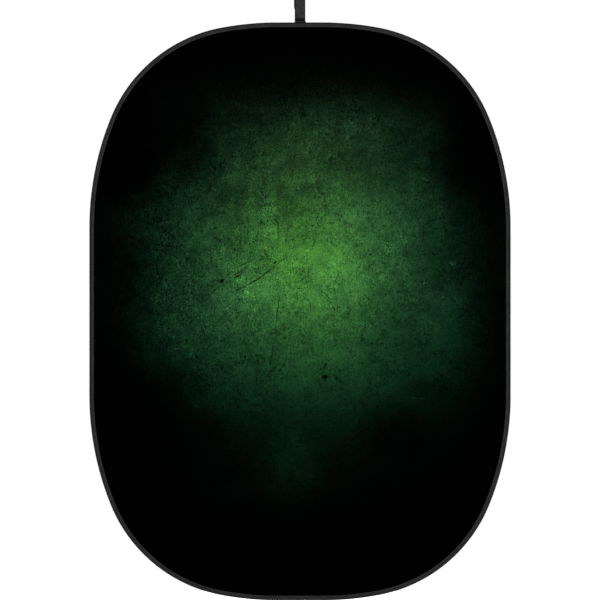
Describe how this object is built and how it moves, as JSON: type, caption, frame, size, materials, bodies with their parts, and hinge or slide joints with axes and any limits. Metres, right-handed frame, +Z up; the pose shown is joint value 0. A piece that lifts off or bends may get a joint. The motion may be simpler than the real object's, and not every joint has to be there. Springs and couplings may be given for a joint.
{
  "type": "collapsible backdrop panel",
  "caption": "Upright oval photo backdrop with a sprung hoop in a sewn binding, printed green mottled cloth in front, plain dark cloth behind and a webbing loop to hang it by.",
  "frame": {"origin": "centre of the hanging loop's crown, where the bar or hook that holds the panel lies", "axes": "+Z up along the panel's height, +Y to the back, away from the printed side, +X to the right as seen from the printed side"},
  "size_m": [1.5, 0.0301, 2.1629],
  "materials": {
    "printed_cloth": "matt printed polyester, green vignette on black",
    "lining_cloth": "matt black polyester",
    "binding_tape": "dark grey woven tape, slight sheen",
    "webbing": "dark grey herringbone polypropylene webbing",
    "thread": "black polyester sewing thread",
    "label": "blank woven satin label",
    "spring_steel": "blued spring steel, oiled",
    "plated_steel": "zinc plated",
    "shrink_wrap": "black shrink tube"
  },
  "bodies": {
    "panel": {"spring_band": "spring_steel", "band_sleeve": "plated_steel", "band_rivets": "plated_steel", "sleeve_wrap": "shrink_wrap", "front_cloth": "printed_cloth", "back_cloth": "lining_cloth", "binding_tape": "binding_tape", "binding_needle_thread": "thread", "binding_bobbin_thread": "thread", "care_label": "label", "loop_tails": "webbing", "tail_bartacks": "thread"},
    "loop": {"hanging_loop": "webbing", "neck_bartacks": "thread"}
  },
  "joints": [
    {"name": "loop_flex", "type": "hinge", "parent": "panel", "child": "loop", "pos_m": [0, 0, -0.087], "axis": [1, 0, 0], "range_deg": [-135, 90], "stiffness_Nm_per_rad": 0.04}
  ]
}
